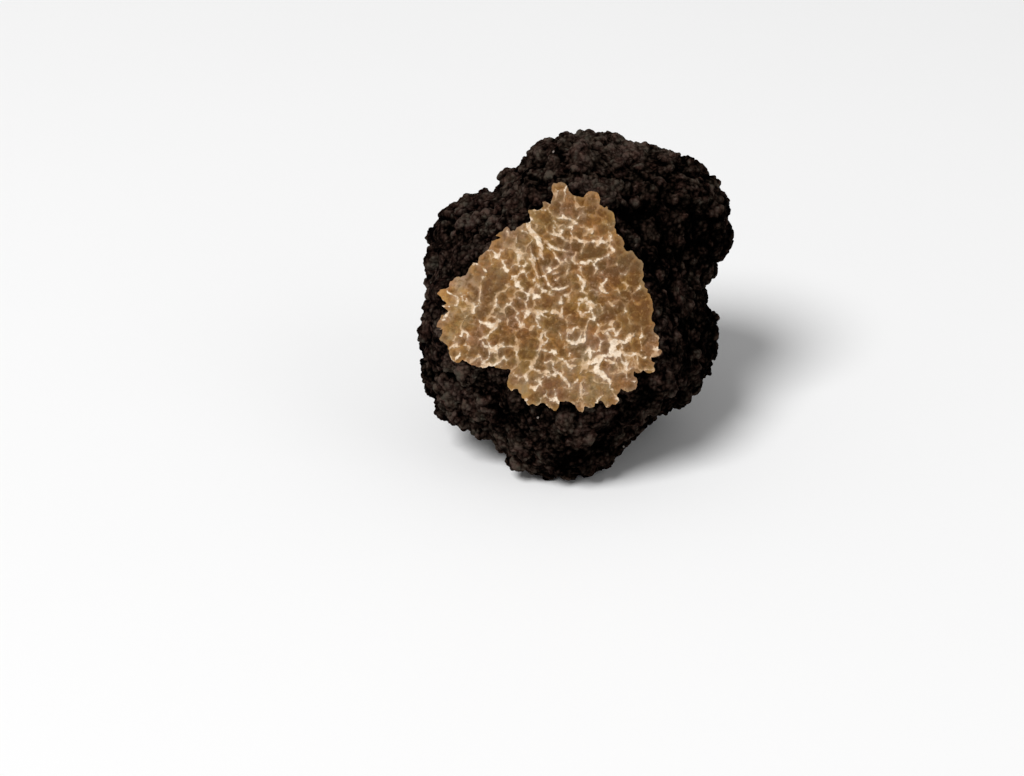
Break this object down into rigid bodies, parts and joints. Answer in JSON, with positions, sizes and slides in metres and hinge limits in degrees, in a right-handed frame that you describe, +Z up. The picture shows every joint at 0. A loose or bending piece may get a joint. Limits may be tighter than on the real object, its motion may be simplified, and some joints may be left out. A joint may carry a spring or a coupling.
{
  "type": "black truffle",
  "caption": "Fresh black truffle, a lobed and warty ball with one side pared flat to show pale brown flesh with white marbling.",
  "frame": {"origin": "middle of the flat spot on the underside that the truffle lies on", "axes": "+Z up from the resting spot, the pared face looks towards -Y and up, +X to the right of someone who looks at that face"},
  "size_m": [0.0561, 0.0528, 0.0539],
  "materials": {
    "skin": "matt, warty, near-black brown with dusty brown tips",
    "flesh": "satin, firm, pale brown with branching cream-white veins"
  },
  "bodies": {
    "root": {"truffle": "skin"}
  },
  "joints": []
}
